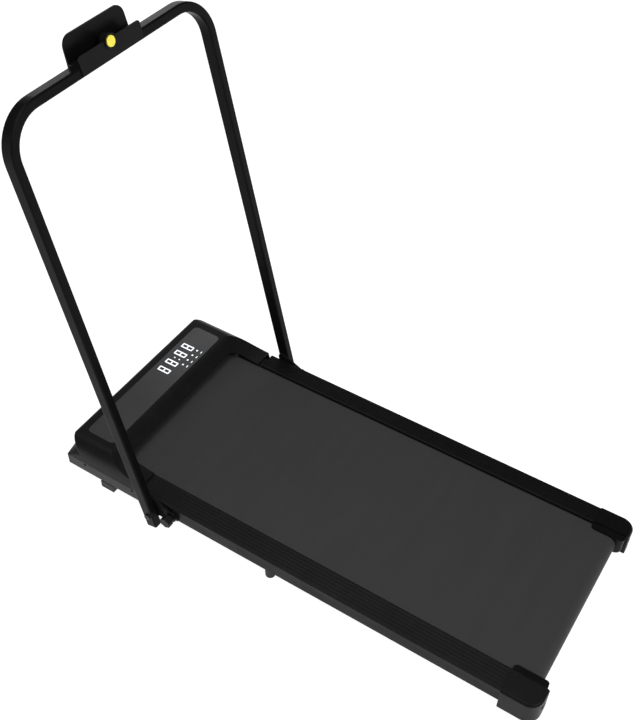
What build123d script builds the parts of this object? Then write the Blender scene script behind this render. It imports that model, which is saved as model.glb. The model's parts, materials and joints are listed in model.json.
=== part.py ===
"""Walking-pad treadmill with a folding handlebar, as separate named sub-parts.

Frame: millimetres, +Z up, +Y the way the user faces (towards the motor hood), +X the user's
right. The origin is on the floor, under the middle of the overall box. Pieces that come in
pairs are made on the right (+X) and mirrored to the left.
"""

from build123d import *
from math import cos, degrees, radians, sin
import os

os.makedirs("parts", exist_ok=True)

# ---------------------------------------------------------------- driving dimensions
BODY_LENGTH = 1179.0
BODY_HALF_WIDTH = 255.0
FRONT_Y = BODY_LENGTH / 2
REAR_Y = -BODY_LENGTH / 2

# heights above the floor
FRAME_BOTTOM = 28.0
FRAME_TOP = 57.0
BELT_TOP = 73.0
RAIL_OUTER_TOP = 71.0
RAIL_INNER_TOP = 77.8
HOOD_TOP = 108.0

# running surface
BELT_HALF_WIDTH = 202.0
BELT_THICKNESS = 1.8
BELT_REAR_OVERHANG = 20.0  # from the rear of the end caps to the rear of the belt
ROLLER_RADIUS = 19.0
ROLLER_BELT_GAP = 0.3
ROLLER_HALF_LENGTH = 204.0
AXLE_RADIUS = 6.0
FRONT_ROLLER_Y = 462.0
DECK_THICKNESS = 10.8
DECK_HALF_WIDTH = 236.0
FOOTRAIL_INNER_X = 205.7
FIT = 0.05  # radial clearance of a running fit
CLEAR = 0.3  # clearance between curved faces that pass each other

# side frames: folded steel channels, open towards the middle
WEB_OUTER_X = 252.0
SHEET = 2.5
FLANGE_INNER_X = 213.0
FRAME_REAR_Y = -571.0
FRAME_FRONT_Y = 578.0

# motor hood
HOOD_REAR_Y = 445.5
HOOD_ARM_REAR_Y = 371.5
SKIRT_TOP = 57.0
HOOD_WALL = 2.6
RAIL_SEAM = 7.0

# handlebar
LEAN = 11.63  # degrees forward of vertical
LEG_OUTER_X = 284.8
TUBE_WIDTH = 20.0  # across the user's left and right
TUBE_DEPTH = 27.8  # along the way the user faces
TUBE_WALL = 1.5
LEG_FOOT_Y = 313.0  # rear face of the legs, at the height of the frame's underside
BAR_TOP_S = 978.9  # along the leg, from the frame's underside to the top of the bar
LEG_END_S = -13.0
BEND_RADIUS = 80.0  # centre line of the tube's two bends

# fold pivot and lock knob
PIVOT_Y = 283.5
PIVOT_Z = 46.0
FOLD_ANGLE = 101.6
STUD_RADIUS = 5.0
HINGE_PLATE_X = (258.0, 263.0)
KNOB_X = (263.4, 283.0)

# transport wheels and feet
WHEEL_Y = 477.0
WHEEL_RADIUS = 12.0
FOOT_RADIUS = 11.0

# drive
MOTOR_Y, MOTOR_Z = 535.0, 66.0
MOTOR_RADIUS = 28.0
ROLLER_PULLEY_RADIUS = 18.5
MOTOR_PULLEY_RADIUS = 12.0
PULLEY_X = (-223.0, -207.5)
DRIVE_BELT_X = (-221.0, -209.5)
DRIVE_BELT_THICKNESS = 2.0

# sizes worked out from the driving dimensions
DECK_TOP = BELT_TOP - BELT_THICKNESS - 0.2
DECK_BOTTOM = DECK_TOP - DECK_THICKNESS
BELT_INNER_RADIUS = ROLLER_RADIUS + ROLLER_BELT_GAP
BELT_OUTER_RADIUS = BELT_INNER_RADIUS + BELT_THICKNESS
ROLLER_Z = BELT_TOP - BELT_OUTER_RADIUS
REAR_ROLLER_Y = REAR_Y + BELT_REAR_OVERHANG + BELT_OUTER_RADIUS
RAIL_SLOPE = (RAIL_INNER_TOP - RAIL_OUTER_TOP) / (BODY_HALF_WIDTH - FOOTRAIL_INNER_X)
LEG_CENTRE_X = LEG_OUTER_X - TUBE_WIDTH / 2
BEND_CENTRE_S = BAR_TOP_S - TUBE_WIDTH / 2 - BEND_RADIUS


# ---------------------------------------------------------------- helpers
def across(x):
    """Sketch plane at x: its local axes are (y, z) and it extrudes towards +X."""
    return Plane.YZ.offset(x)


def facing(y):
    """Sketch plane at y: its local axes are (x, z) and it extrudes towards -Y."""
    return Plane.XZ.offset(-y)


def level(z):
    """Sketch plane at z: its local axes are (x, y) and it extrudes towards +Z."""
    return Plane.XY.offset(z)


def leaned(h):
    """Sketch plane of the handlebar: local axes (x, distance up the leg).

    h is measured from the rear face of the tube, positive towards the user.
    """
    lean = radians(LEAN)
    toward_user = Vector(0, -cos(lean), sin(lean))
    origin = Vector(0, LEG_FOOT_Y, FRAME_BOTTOM) + toward_user * h
    return Plane(origin=origin, x_dir=(1, 0, 0), z_dir=toward_user)


def save(piece, name):
    piece.label = name
    export_step(piece, f"parts/{name}.step")


def save_pair(right_piece, name):
    """The piece as made, on the right, and its mirror image on the left."""
    save(right_piece, f"{name}_right")
    save(mirror(right_piece, about=Plane.YZ), f"{name}_left")


def rail_top(x):
    """Height of the foot rail's sloping top at the distance x from the middle."""
    return RAIL_INNER_TOP - RAIL_SLOPE * (x - FOOTRAIL_INNER_X)


# ---------------------------------------------------------------- side frames
NOTCH_REAR = (FRAME_REAR_Y - 1, -526.0)  # the upper flange is cut away at the rollers
NOTCH_FRONT = (436.0, FRAME_FRONT_Y + 1)
END_PLATE_TOP = 66.0
AXLE_X = 240.0
TENSION_BOLT_X = 228.0
TENSION_SHANK_RADIUS = 4.0
DECK_SCREW_X = 230.0
DECK_SCREW_Y = (-470.0, -180.0, 90.0, 340.0)
SHROUD_SCREW_Y = (398.5, 536.5)
SHROUD_SCREW_Z = 51.0
SCREW_RADIUS = 2.0

with BuildPart() as side_frame:
    with BuildSketch(facing(FRAME_FRONT_Y)):
        with BuildLine():
            Polyline(
                (FLANGE_INNER_X, FRAME_BOTTOM),
                (WEB_OUTER_X, FRAME_BOTTOM),
                (WEB_OUTER_X, FRAME_TOP),
                (FLANGE_INNER_X, FRAME_TOP),
                (FLANGE_INNER_X, FRAME_TOP - SHEET),
                (WEB_OUTER_X - SHEET, FRAME_TOP - SHEET),
                (WEB_OUTER_X - SHEET, FRAME_BOTTOM + SHEET),
                (FLANGE_INNER_X, FRAME_BOTTOM + SHEET),
                close=True,
            )
        make_face()
    extrude(amount=FRAME_FRONT_Y - FRAME_REAR_Y)
    fillet(
        side_frame.edges().filter_by(Axis.Y).filter_by_position(Axis.X, WEB_OUTER_X - 0.1, WEB_OUTER_X + 0.1),
        radius=1.5,
    )
    for y0, y1 in (NOTCH_REAR, NOTCH_FRONT):
        with BuildSketch(level(FRAME_TOP - SHEET - 0.1)):
            with Locations(((FLANGE_INNER_X + WEB_OUTER_X) / 2 - SHEET, (y0 + y1) / 2)):
                Rectangle(WEB_OUTER_X - FLANGE_INNER_X, y1 - y0)
        extrude(amount=SHEET + 1, mode=Mode.SUBTRACT)
    # rear end plate, which the belt-tension bolt bears on
    with BuildSketch(facing(FRAME_REAR_Y + 4)):
        with Locations(((FLANGE_INNER_X + WEB_OUTER_X - SHEET) / 2, (FRAME_BOTTOM + END_PLATE_TOP) / 2)):
            Rectangle(WEB_OUTER_X - SHEET - FLANGE_INNER_X, END_PLATE_TOP - FRAME_BOTTOM)
        with Locations((TENSION_BOLT_X, ROLLER_Z)):
            Circle(TENSION_SHANK_RADIUS + CLEAR, mode=Mode.SUBTRACT)
    extrude(amount=4)
    # holes in the web for the fold stud and the shroud screws
    with BuildSketch(across(WEB_OUTER_X - SHEET - 1)):
        with Locations((PIVOT_Y, PIVOT_Z)):
            Circle(STUD_RADIUS + FIT)
        with Locations(*[(y, SHROUD_SCREW_Z) for y in SHROUD_SCREW_Y]):
            Circle(SCREW_RADIUS + 0.05)
    extrude(amount=SHEET + 2, mode=Mode.SUBTRACT)
    # holes in the upper flange for the deck screws
    with BuildSketch(level(FRAME_TOP - SHEET - 1)):
        with Locations(*[(DECK_SCREW_X, y) for y in DECK_SCREW_Y]):
            Circle(SCREW_RADIUS + 0.05)
    extrude(amount=SHEET + 2, mode=Mode.SUBTRACT)
save_pair(side_frame.part, "side_frame")

# ---------------------------------------------------------------- cross members
CROSS_Y = (-380.0, -60.0, 250.0)
FRONT_CROSS_Y = 565.0
CROSS_TOP = FRAME_TOP - SHEET - 0.1
CROSS_BOTTOM = 36.0
CROSS_WIDTH = 30.0
CROSS_HALF_LENGTH = WEB_OUTER_X - SHEET - 0.1

with BuildPart() as cross_members:
    for y in CROSS_Y:
        with BuildSketch(across(-CROSS_HALF_LENGTH)):
            with Locations((y, (CROSS_TOP + CROSS_BOTTOM) / 2)):
                RectangleRounded(CROSS_WIDTH, CROSS_TOP - CROSS_BOTTOM, 3)
                RectangleRounded(CROSS_WIDTH - 3.6, CROSS_TOP - CROSS_BOTTOM - 3.6, 1.2, mode=Mode.SUBTRACT)
        extrude(amount=2 * CROSS_HALF_LENGTH)
    # smaller tube under the front of the motor bay
    with BuildSketch(across(-CROSS_HALF_LENGTH)):
        with Locations((FRONT_CROSS_Y, FRAME_BOTTOM + SHEET + 8.1)):
            RectangleRounded(15, 16, 2)
            RectangleRounded(12, 13, 0.5, mode=Mode.SUBTRACT)
    extrude(amount=2 * CROSS_HALF_LENGTH)
save(cross_members.part, "cross_members")

# ---------------------------------------------------------------- deck and its cushions
DECK_REAR_Y = REAR_ROLLER_Y + ROLLER_RADIUS + 8
DECK_FRONT_Y = FRONT_ROLLER_Y - ROLLER_RADIUS - 8

with BuildPart() as deck_board:
    with BuildSketch(level(DECK_BOTTOM)):
        with Locations((0, (DECK_REAR_Y + DECK_FRONT_Y) / 2)):
            Rectangle(2 * DECK_HALF_WIDTH, DECK_FRONT_Y - DECK_REAR_Y)
    extrude(amount=DECK_THICKNESS)
    fillet(deck_board.faces().sort_by(Axis.Z)[-1].edges().filter_by(Axis.X), radius=4)
    with Locations(*[(side * DECK_SCREW_X, y, DECK_TOP) for side in (-1, 1) for y in DECK_SCREW_Y]):
        CounterSinkHole(radius=2.6, counter_sink_radius=5.0)
save(deck_board.part, "deck_board")

CUSHION_Y = (-430.0, -240.0, -50.0, 140.0, 290.0, 400.0)
with BuildPart() as deck_cushions:
    for side in (-1, 1):
        for y in CUSHION_Y:
            with BuildSketch(level(FRAME_TOP)):
                with Locations((side * (FLANGE_INNER_X + 10), y)):
                    RectangleRounded(18, 50, 4)
            extrude(amount=DECK_BOTTOM - FRAME_TOP)
save(deck_cushions.part, "deck_cushions")

with BuildPart() as deck_screws:
    for side in (-1, 1):
        for y in DECK_SCREW_Y:
            with BuildSketch(Plane(origin=(side * DECK_SCREW_X, y, 0), x_dir=(1, 0, 0), z_dir=(0, -1, 0))):
                with BuildLine():
                    Polyline(
                        (0, FRAME_TOP - SHEET),
                        (SCREW_RADIUS, FRAME_TOP - SHEET),
                        (SCREW_RADIUS, DECK_TOP - 3.3),
                        (4.3, DECK_TOP - 0.5),
                        (0, DECK_TOP - 0.5),
                        close=True,
                    )
                make_face()
            revolve(axis=Axis((side * DECK_SCREW_X, y, 0), (0, 0, 1)))
save(deck_screws.part, "deck_screws")

# ---------------------------------------------------------------- running belt
with BuildPart() as running_belt:
    with BuildSketch(across(-BELT_HALF_WIDTH)):
        for radius, mode in ((BELT_OUTER_RADIUS, Mode.ADD), (BELT_INNER_RADIUS, Mode.SUBTRACT)):
            with Locations(((REAR_ROLLER_Y + FRONT_ROLLER_Y) / 2, ROLLER_Z)):
                SlotCenterToCenter(FRONT_ROLLER_Y - REAR_ROLLER_Y, 2 * radius, mode=mode)
    extrude(amount=2 * BELT_HALF_WIDTH)
save(running_belt.part, "running_belt")

# ---------------------------------------------------------------- foot rails
CAP_FRONT_Y = -509.5
RAIL_REAR_Y = CAP_FRONT_Y + 0.2
RAIL_FRONT_Y = HOOD_ARM_REAR_Y - RAIL_SEAM
RAIL_LIP_BOTTOM = 60.0
RAIL_WALL = 2.0
GROOVE_COUNT = 5
GROOVE_PITCH = 7.6
GROOVE_FIRST_X = 215.0

with BuildPart() as side_rail:
    with BuildSketch(facing(RAIL_FRONT_Y)):
        with BuildLine():
            Polyline(
                (FOOTRAIL_INNER_X, DECK_TOP + 0.2),
                (FOOTRAIL_INNER_X, RAIL_INNER_TOP),
                (BODY_HALF_WIDTH, RAIL_OUTER_TOP),
                (BODY_HALF_WIDTH, RAIL_LIP_BOTTOM),
                (WEB_OUTER_X + 0.6, RAIL_LIP_BOTTOM),
                (WEB_OUTER_X + 0.6, rail_top(WEB_OUTER_X + 0.6) - RAIL_WALL),
                (FOOTRAIL_INNER_X + 2.2, rail_top(FOOTRAIL_INNER_X + 2.2) - RAIL_WALL),
                (FOOTRAIL_INNER_X + 2.2, DECK_TOP + 0.2),
                close=True,
            )
        make_face()
        for groove in range(GROOVE_COUNT):
            x = GROOVE_FIRST_X + groove * GROOVE_PITCH
            with Locations((x, rail_top(x))):
                Rectangle(2.6, 2.2, rotation=-degrees(RAIL_SLOPE), mode=Mode.SUBTRACT)
    extrude(amount=RAIL_FRONT_Y - RAIL_REAR_Y)
    fillet(
        side_rail.edges()
        .filter_by(Axis.Y)
        .filter_by_position(Axis.X, BODY_HALF_WIDTH - 0.1, BODY_HALF_WIDTH + 0.1)
        .filter_by_position(Axis.Z, RAIL_OUTER_TOP - 0.1, RAIL_OUTER_TOP + 0.1),
        radius=1.8,
    )
    fillet(
        side_rail.edges()
        .filter_by(Axis.Y)
        .filter_by_position(Axis.X, FOOTRAIL_INNER_X - 0.1, FOOTRAIL_INNER_X + 0.1)
        .filter_by_position(Axis.Z, RAIL_INNER_TOP - 0.1, RAIL_INNER_TOP + 0.1),
        radius=1.5,
    )
save_pair(side_rail.part, "side_rail")

# ---------------------------------------------------------------- rear end caps
CAP_OUTER_X = 257.5
CAP_BOTTOM = 13.0
CAP_TOP_INNER = 80.3
CAP_WALL = 2.2
CAP_CORNER = 30.0
LIP_INNER_X = 190.0
LIP_TOP = 77.2
LIP_REAR_Y = -583.0
LIP_BOTTOM = 26.0
LIP_CORNER = 16.0
LIP_BELT_GAP = 1.0
INNER_WALL_CUT = 8.0
LIP_REAR_ROUND = 7.0
CAP_INNER_X = 207.0


def cap_top(x):
    """Height of the cap's sloping top at the distance x from the middle."""
    return CAP_TOP_INNER - RAIL_SLOPE * (x - CAP_INNER_X)


def cap_block(inset, rim_radius):
    """Corner block under the cap's sloping top, its outside moved inwards by inset."""
    over = 1 if inset else 0  # the hollow runs out at the front and the bottom
    outer_x = CAP_OUTER_X - inset
    inner_x = CAP_INNER_X + inset
    front_y = CAP_FRONT_Y + over
    rear_y = REAR_Y + inset
    with BuildPart() as block:
        with BuildSketch(level(CAP_BOTTOM - over)) as plan:
            with Locations(((inner_x + outer_x) / 2, (front_y + rear_y) / 2)):
                Rectangle(outer_x - inner_x, front_y - rear_y)
            fillet(plan.vertices().group_by(Axis.Y)[0].sort_by(Axis.X)[-1], radius=CAP_CORNER - inset)
        extrude(amount=CAP_TOP_INNER)
        with BuildSketch(facing(front_y + 1)):
            with BuildLine():
                Polyline(
                    (inner_x - 1, 0),
                    (outer_x + 1, 0),
                    (outer_x + 1, cap_top(outer_x + 1) - inset),
                    (inner_x - 1, cap_top(inner_x - 1) - inset),
                    close=True,
                )
            make_face()
        extrude(amount=front_y - rear_y + 2, mode=Mode.INTERSECT)
        rim = block.faces().sort_by(Axis.Z)[-1].edges()
        outer_rim = rim.filter_by(
            lambda edge: edge.center().X > inner_x + 1 and edge.center().Y < front_y - 1
        )
        fillet(outer_rim, radius=rim_radius)
    return block.part


with BuildPart() as rear_cap:
    add(cap_block(0, 6.0))
    add(cap_block(CAP_WALL, 4.2), mode=Mode.SUBTRACT)
    # the inner wall is open below the lip, for the deck, the axle and the side frame
    with BuildSketch(across(CAP_INNER_X - 1)):
        with Locations(((LIP_REAR_Y + 6.5 + CAP_FRONT_Y + 1) / 2, BELT_TOP / 2)):
            Rectangle(CAP_FRONT_Y + 1 - LIP_REAR_Y - 6.5, BELT_TOP + 2.4)
    extrude(amount=CAP_WALL + 2, mode=Mode.SUBTRACT)
    # its lower inner corner is cut off
    with BuildSketch(facing(CAP_FRONT_Y + 1)):
        with BuildLine():
            Polyline(
                (CAP_INNER_X - 1, CAP_BOTTOM - 1),
                (CAP_INNER_X + INNER_WALL_CUT, CAP_BOTTOM - 1),
                (CAP_INNER_X - 1, CAP_BOTTOM + INNER_WALL_CUT),
                close=True,
            )
        make_face()
    extrude(amount=CAP_FRONT_Y - REAR_Y + 2, mode=Mode.SUBTRACT)
    # fender over the belt's edge, wrapped round the rear roller
    with BuildSketch(across(LIP_INNER_X)) as fender:
        with Locations(((LIP_REAR_Y + CAP_FRONT_Y) / 2, (LIP_BOTTOM + LIP_TOP) / 2)):
            Rectangle(CAP_FRONT_Y - LIP_REAR_Y, LIP_TOP - LIP_BOTTOM)
        fillet(fender.vertices().group_by(Axis.Y)[0], radius=LIP_CORNER)
        with Locations((REAR_ROLLER_Y, ROLLER_Z)):
            Circle(BELT_OUTER_RADIUS + LIP_BELT_GAP, mode=Mode.SUBTRACT)
        with Locations(((REAR_ROLLER_Y + CAP_FRONT_Y + 1) / 2, (BELT_TOP + LIP_BELT_GAP) / 2)):
            Rectangle(CAP_FRONT_Y + 1 - REAR_ROLLER_Y, BELT_TOP + LIP_BELT_GAP, mode=Mode.SUBTRACT)
    extrude(amount=CAP_INNER_X + 1.5 - LIP_INNER_X)
    fillet(
        rear_cap.edges()
        .filter_by(Axis.Z)
        .filter_by_position(Axis.X, LIP_INNER_X - 0.1, LIP_INNER_X + 0.1)
        .filter_by_position(Axis.Y, CAP_FRONT_Y - 0.1, CAP_FRONT_Y + 0.1),
        radius=9,
    )
    fillet(
        rear_cap.edges()
        .filter_by(Plane.YZ)
        .filter_by_position(Axis.X, LIP_INNER_X - 0.1, LIP_INNER_X + 0.1)
        .filter_by_position(Axis.Y, LIP_REAR_Y - 0.1, LIP_REAR_Y + 0.1),
        radius=LIP_REAR_ROUND,
    )
    # hole in the rear wall for the tension bolt's hexagon key
    with BuildSketch(facing(REAR_Y + CAP_WALL + 1)):
        with Locations((TENSION_BOLT_X, ROLLER_Z)):
            Circle(8.5)
    extrude(amount=CAP_WALL + 2, mode=Mode.SUBTRACT)
save_pair(rear_cap.part, "rear_cap")

# ---------------------------------------------------------------- rollers, axles and bearings
BEARING_WIDTH = 10.0
TUBE_WALL_ROLLER = 3.0


def roller(y):
    """Steel roller tube with broken edges."""
    with BuildPart() as tube:
        with BuildSketch(across(-ROLLER_HALF_LENGTH)):
            with Locations((y, ROLLER_Z)):
                Circle(ROLLER_RADIUS)
                Circle(ROLLER_RADIUS - TUBE_WALL_ROLLER, mode=Mode.SUBTRACT)
        extrude(amount=2 * ROLLER_HALF_LENGTH)
        chamfer(tube.edges().filter_by(GeomType.CIRCLE), length=0.6)
    return tube.part


def bearings(y):
    """The two bearings pressed into the ends of a roller tube."""
    with BuildPart() as pair:
        for x in (-ROLLER_HALF_LENGTH + 1, ROLLER_HALF_LENGTH - 1 - BEARING_WIDTH):
            with BuildSketch(across(x)):
                with Locations((y, ROLLER_Z)):
                    Circle(ROLLER_RADIUS - TUBE_WALL_ROLLER - 0.02)
                    Circle(AXLE_RADIUS + FIT, mode=Mode.SUBTRACT)
            extrude(amount=BEARING_WIDTH)
    return pair.part


def axle(y):
    """Fixed axle, chamfered at both ends."""
    with BuildPart() as rod:
        with BuildSketch(across(-AXLE_X)):
            with Locations((y, ROLLER_Z)):
                Circle(AXLE_RADIUS)
        extrude(amount=2 * AXLE_X)
        chamfer(rod.edges().filter_by(GeomType.CIRCLE), length=1)
    return rod.part


for name, y in (("front", FRONT_ROLLER_Y), ("rear", REAR_ROLLER_Y)):
    save(roller(y), f"{name}_roller")
    save(bearings(y), f"{name}_roller_bearings")
    save(axle(y), f"{name}_axle")

# slide blocks in the side frames that hold the axles; the rear ones take the tension bolts
BLOCK_X = (225.5, 249.0)
BLOCK_Z = (FRAME_BOTTOM + SHEET + 0.1, 62.0)
with BuildPart() as axle_blocks:
    for y in (FRONT_ROLLER_Y, REAR_ROLLER_Y):
        with BuildSketch(across(BLOCK_X[0])):
            with Locations((y, (BLOCK_Z[0] + BLOCK_Z[1]) / 2)):
                RectangleRounded(26, BLOCK_Z[1] - BLOCK_Z[0], 1.5)
            with Locations((y, ROLLER_Z)):
                Circle(AXLE_RADIUS + 0.02, mode=Mode.SUBTRACT)
        extrude(amount=BLOCK_X[1] - BLOCK_X[0])
    with BuildSketch(facing(REAR_ROLLER_Y - AXLE_RADIUS)):
        with Locations((TENSION_BOLT_X, ROLLER_Z)):
            Circle(TENSION_SHANK_RADIUS + FIT)
    extrude(amount=20, mode=Mode.SUBTRACT)
    mirror(about=Plane.YZ)
save(axle_blocks.part, "axle_blocks")

TENSION_HEAD = (-579.6, -571.6)
with BuildPart() as tension_bolt:
    with BuildSketch(facing(TENSION_HEAD[1])):
        with Locations((TENSION_BOLT_X, ROLLER_Z)):
            Circle(6.5)
    extrude(amount=TENSION_HEAD[1] - TENSION_HEAD[0])
    fillet(tension_bolt.edges().filter_by(GeomType.CIRCLE).group_by(Axis.Y)[0], radius=0.6)
    with BuildSketch(facing(TENSION_HEAD[0] + 4)):
        with Locations((TENSION_BOLT_X, ROLLER_Z)):
            RegularPolygon(3.0, 6, major_radius=False)
    extrude(amount=5, mode=Mode.SUBTRACT)
    with BuildSketch(facing(REAR_ROLLER_Y - AXLE_RADIUS - 1)):
        with Locations((TENSION_BOLT_X, ROLLER_Z)):
            Circle(TENSION_SHANK_RADIUS)
    extrude(amount=REAR_ROLLER_Y - AXLE_RADIUS - 1 - TENSION_HEAD[1])
save_pair(tension_bolt.part, "tension_bolt")

# ---------------------------------------------------------------- drive: pulleys, motor, belt
with BuildPart() as roller_pulley:
    with BuildSketch(across(PULLEY_X[0])):
        with Locations((FRONT_ROLLER_Y, ROLLER_Z)):
            Circle(ROLLER_PULLEY_RADIUS + 1.2)
    extrude(amount=1.2)
    with BuildSketch(across(PULLEY_X[0] + 1.2)):
        with Locations((FRONT_ROLLER_Y, ROLLER_Z)):
            Circle(ROLLER_PULLEY_RADIUS)
    extrude(amount=PULLEY_X[1] - PULLEY_X[0] - 1.2)
    with BuildSketch(across(PULLEY_X[1])):
        with Locations((FRONT_ROLLER_Y, ROLLER_Z)):
            Circle(ROLLER_RADIUS - TUBE_WALL_ROLLER - 0.02)
    extrude(amount=3.3)
    with BuildSketch(across(PULLEY_X[0] - 1)):
        with Locations((FRONT_ROLLER_Y, ROLLER_Z)):
            Circle(AXLE_RADIUS + FIT)
    extrude(amount=30, mode=Mode.SUBTRACT)
save(roller_pulley.part, "roller_pulley")

MOTOR_X = (-196.0, -30.0)
MOTOR_SHAFT_RADIUS = 4.0
with BuildPart() as drive_motor:
    with BuildSketch(across(MOTOR_X[0])):
        with Locations((MOTOR_Y, MOTOR_Z)):
            Circle(MOTOR_RADIUS)
    extrude(amount=MOTOR_X[1] - MOTOR_X[0])
    fillet(drive_motor.edges().filter_by(GeomType.CIRCLE), radius=4)
    with BuildSketch(across(MOTOR_X[0] + 12)):
        with Locations((MOTOR_Y, MOTOR_Z)):
            with PolarLocations(MOTOR_RADIUS, 18):
                Rectangle(3.0, 3.0, mode=Mode.ADD)
    extrude(amount=MOTOR_X[1] - MOTOR_X[0] - 24, mode=Mode.SUBTRACT)
    with BuildSketch(across(MOTOR_X[0] - 1)):
        with Locations((MOTOR_Y, MOTOR_Z)):
            Circle(MOTOR_SHAFT_RADIUS + FIT)
    extrude(amount=40, mode=Mode.SUBTRACT)
save(drive_motor.part, "drive_motor")

with BuildPart() as motor_shaft:
    with BuildSketch(across(PULLEY_X[0] - 1)):
        with Locations((MOTOR_Y, MOTOR_Z)):
            Circle(MOTOR_SHAFT_RADIUS)
    extrude(amount=MOTOR_X[0] + 38 - PULLEY_X[0] + 1)
    chamfer(motor_shaft.edges().filter_by(GeomType.CIRCLE), length=0.5)
save(motor_shaft.part, "motor_shaft")

with BuildPart() as motor_pulley:
    for x0, x1, radius in (
        (PULLEY_X[0], PULLEY_X[0] + 1.2, MOTOR_PULLEY_RADIUS + 2.4),
        (PULLEY_X[0] + 1.2, PULLEY_X[1] - 1.2, MOTOR_PULLEY_RADIUS),
        (PULLEY_X[1] - 1.2, PULLEY_X[1], MOTOR_PULLEY_RADIUS + 2.4),
    ):
        with BuildSketch(across(x0)):
            with Locations((MOTOR_Y, MOTOR_Z)):
                Circle(radius)
        extrude(amount=x1 - x0)
    with BuildSketch(across(PULLEY_X[0] - 1)):
        with Locations((MOTOR_Y, MOTOR_Z)):
            Circle(MOTOR_SHAFT_RADIUS + 0.02)
    extrude(amount=30, mode=Mode.SUBTRACT)
save(motor_pulley.part, "motor_pulley")


def pulley_loop(margin):
    """Outline of a belt round both drive pulleys, margin away from their faces."""
    with BuildSketch() as outline:
        with Locations((FRONT_ROLLER_Y, ROLLER_Z)):
            Circle(ROLLER_PULLEY_RADIUS + margin)
        with Locations((MOTOR_Y, MOTOR_Z)):
            Circle(MOTOR_PULLEY_RADIUS + margin)
        make_hull()
    return outline.sketch


with BuildPart() as drive_belt:
    with BuildSketch(across(DRIVE_BELT_X[0])):
        add(pulley_loop(CLEAR + DRIVE_BELT_THICKNESS))
        add(pulley_loop(CLEAR), mode=Mode.SUBTRACT)
    extrude(amount=DRIVE_BELT_X[1] - DRIVE_BELT_X[0])
save(drive_belt.part, "drive_belt")

CRADLE_X = (-170.0, -60.0)
CRADLE_LENGTH = 44.0
with BuildPart() as motor_bracket:
    with BuildSketch(across(CRADLE_X[0])):
        with Locations((MOTOR_Y, 33.0)):
            Rectangle(CRADLE_LENGTH, 4.0)
    extrude(amount=CRADLE_X[1] - CRADLE_X[0])
    for x in CRADLE_X:
        with BuildSketch(across(x - 2)):
            with Locations((MOTOR_Y, 50.0)):
                Rectangle(CRADLE_LENGTH, 38)
            with Locations((MOTOR_Y, MOTOR_Z)):
                Circle(MOTOR_RADIUS + 0.1, mode=Mode.SUBTRACT)
        extrude(amount=4)
save(motor_bracket.part, "motor_bracket")

# ---------------------------------------------------------------- electronics in the motor bay
CONTROLLER_X, CONTROLLER_Y, CONTROLLER_Z = 90.0, 520.0, 37.0
BOARD_THICKNESS = 1.6
CONTROLLER_TOP = CONTROLLER_Z + BOARD_THICKNESS
with BuildPart() as controller_board:
    with BuildSketch(level(CONTROLLER_Z)):
        with Locations((CONTROLLER_X, CONTROLLER_Y)):
            Rectangle(150, 58)
    extrude(amount=BOARD_THICKNESS)
    with BuildSketch(level(CONTROLLER_TOP)):
        with Locations((CONTROLLER_X - 48, CONTROLLER_Y + 8), (CONTROLLER_X - 22, CONTROLLER_Y + 8)):
            Circle(10)
    extrude(amount=28)
    with BuildSketch(level(CONTROLLER_TOP)):
        with Locations((CONTROLLER_X + 54, CONTROLLER_Y)):
            RectangleRounded(30, 34, 2)
    extrude(amount=24)
save(controller_board.part, "controller_board")

with BuildPart() as heat_sink:
    with BuildSketch(level(CONTROLLER_TOP)):
        with Locations((CONTROLLER_X + 14, CONTROLLER_Y)):
            Rectangle(40, 50)
    extrude(amount=5)
    with BuildSketch(level(CONTROLLER_TOP + 5)):
        with Locations((CONTROLLER_X + 14, CONTROLLER_Y)):
            with GridLocations(6, 0, 7, 1):
                Rectangle(1.8, 50)
    extrude(amount=24)
save(heat_sink.part, "heat_sink")

# ---------------------------------------------------------------- belly pan under the motor bay
PAN_REAR_Y = 489.0
PAN_FRONT_Y = 586.0
with BuildPart() as belly_pan:
    with BuildSketch(level(FRAME_BOTTOM)):
        with Locations((0, (PAN_REAR_Y + PAN_FRONT_Y) / 2)):
            Rectangle(2 * (FLANGE_INNER_X - 0.5), PAN_FRONT_Y - PAN_REAR_Y)
    extrude(amount=2.0)
    with BuildSketch(level(FRAME_BOTTOM + 2)):
        with Locations((0, PAN_REAR_Y + 1)):
            Rectangle(2 * (FLANGE_INNER_X - 0.5), 2)
    extrude(amount=6)
    # posts that the controller board stands on
    with BuildSketch(level(FRAME_BOTTOM + 2)):
        with Locations((CONTROLLER_X, CONTROLLER_Y)):
            with GridLocations(140, 48, 2, 2):
                Circle(3)
    extrude(amount=CONTROLLER_Z - FRAME_BOTTOM - 2)
    # air slots under the motor
    with BuildSketch(level(FRAME_BOTTOM - 1)):
        with Locations((-115, 540), (-115, 550), (-115, 530)):
            SlotOverall(90, 4)
    extrude(amount=4, mode=Mode.SUBTRACT)
save(belly_pan.part, "belly_pan")

# ---------------------------------------------------------------- lower shroud and motor hood
SHROUD_WALL = 2.6
SHROUD_X = BODY_HALF_WIDTH
SKIRT_CORNER = 2.0
INLET_X, INLET_Z = 150.0, 43.0
SWITCH_X = 200.0

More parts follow.
